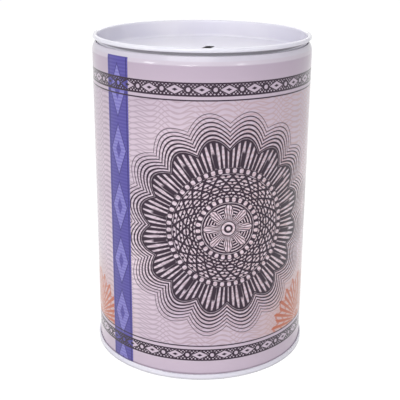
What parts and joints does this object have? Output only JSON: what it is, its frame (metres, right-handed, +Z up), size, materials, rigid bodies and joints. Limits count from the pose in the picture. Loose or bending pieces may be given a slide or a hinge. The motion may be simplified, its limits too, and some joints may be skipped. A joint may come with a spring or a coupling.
{
  "type": "tin money box",
  "caption": "Round tinplate money box: a printed can with a hemmed shoulder at the mouth, a double-seamed recessed base and a white press-in lid with a coin slot.",
  "frame": {"origin": "middle of the foot ring, on the surface that the tin stands on", "axes": "+Z up along the can, the coin slot along Y, the can's side seam at +Y"},
  "size_m": [0.1016, 0.1016, 0.15],
  "materials": {
    "printed_tinplate": "lithographed print under gloss varnish",
    "white_enamel": "white stoving enamel, soft gloss"
  },
  "bodies": {
    "can": {"body_shell": "printed_tinplate", "base_end": "white_enamel"},
    "lid": {"lid": "white_enamel"}
  },
  "joints": [
    {"name": "lid_lift", "type": "slide", "parent": "can", "child": "lid", "axis": [0, 0, 1], "range_m": [-0.001, 0.04]}
  ]
}
